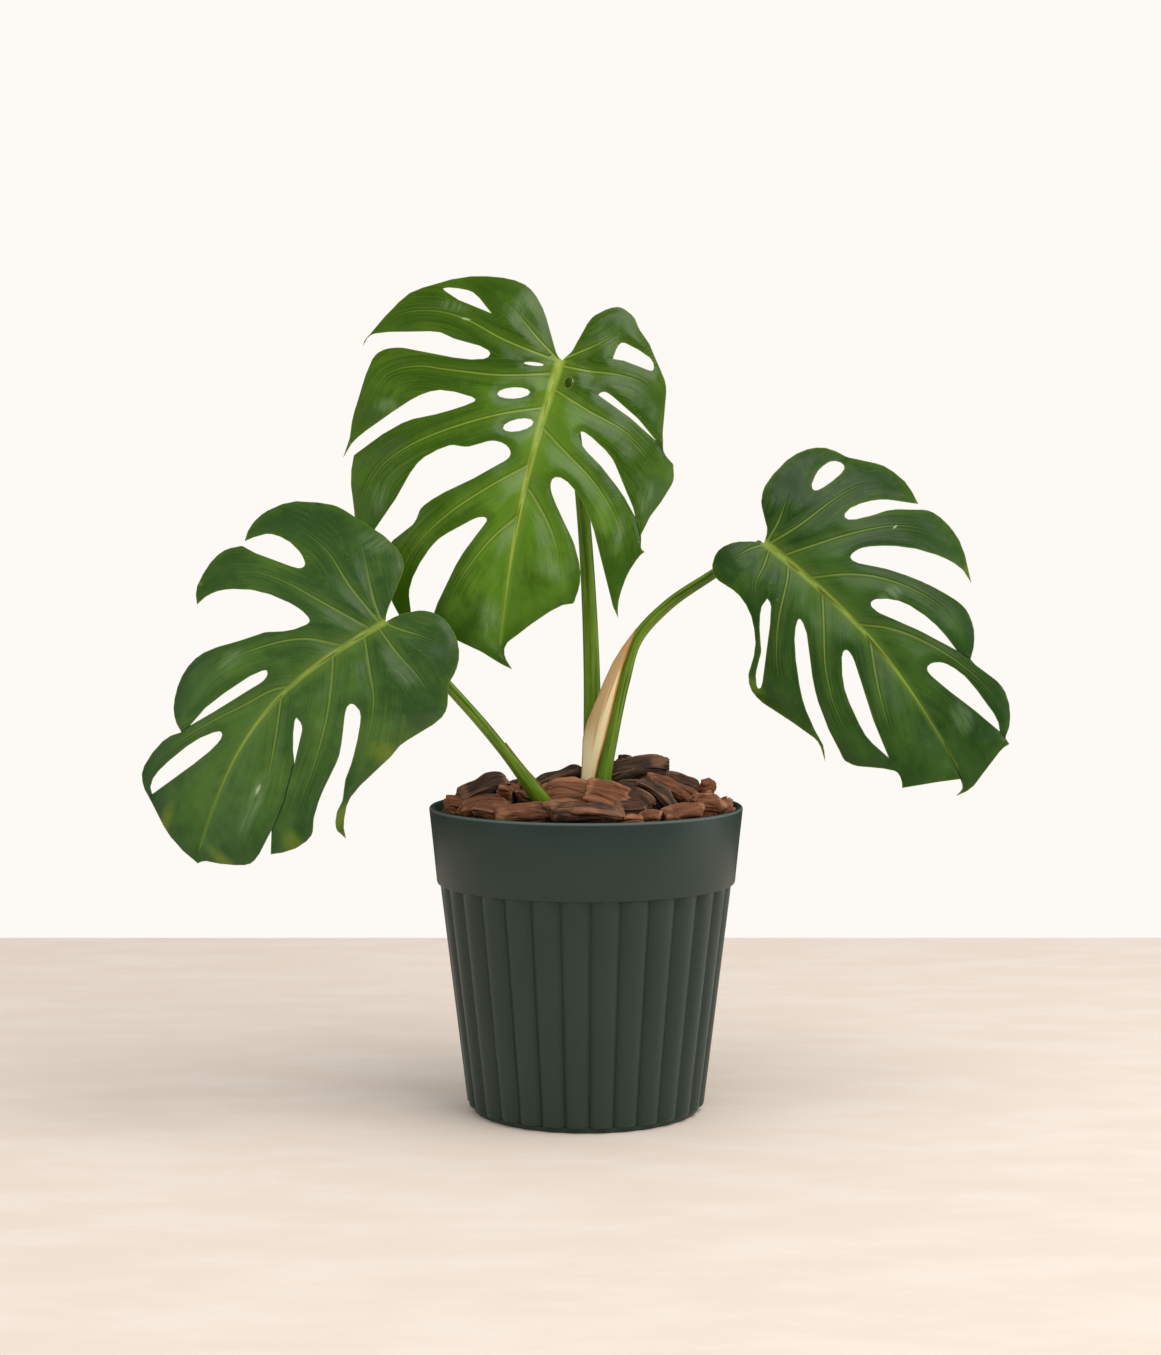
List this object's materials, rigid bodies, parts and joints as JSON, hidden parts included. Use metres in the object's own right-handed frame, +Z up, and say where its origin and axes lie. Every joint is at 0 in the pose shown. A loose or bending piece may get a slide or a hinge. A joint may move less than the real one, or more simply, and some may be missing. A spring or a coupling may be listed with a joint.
{
  "type": "potted monstera plant",
  "caption": "Potted split-leaf plant: upright holed leaves on bent stalks, in bark mulch, in a round tapered planter with a plain rim band over upright ribs.",
  "frame": {"origin": "centre of the pot's flat underside", "axes": "+Z up, +X to the right and -Y towards the viewer, as seen in the picture"},
  "size_m": [0.5607, 0.2328, 0.5605],
  "materials": {
    "pot": "satin dark green",
    "soil": "damp potting mix",
    "bark": "rough reddish-brown bark",
    "stem": "smooth green stalk",
    "young_leaf": "glossy bright green leaf",
    "grown_leaf": "satin dark green leaf",
    "sheath": "dry tan sheath"
  },
  "bodies": {
    "root": {"pot": "pot", "soil": "soil", "bark_mulch": "bark", "stem_crown": "stem", "stalk_tall": "stem", "stalk_left": "stem", "stalk_right": "stem", "leaf_tall": "young_leaf", "leaf_left": "grown_leaf", "leaf_right": "grown_leaf", "dried_sheath": "sheath"}
  },
  "joints": []
}
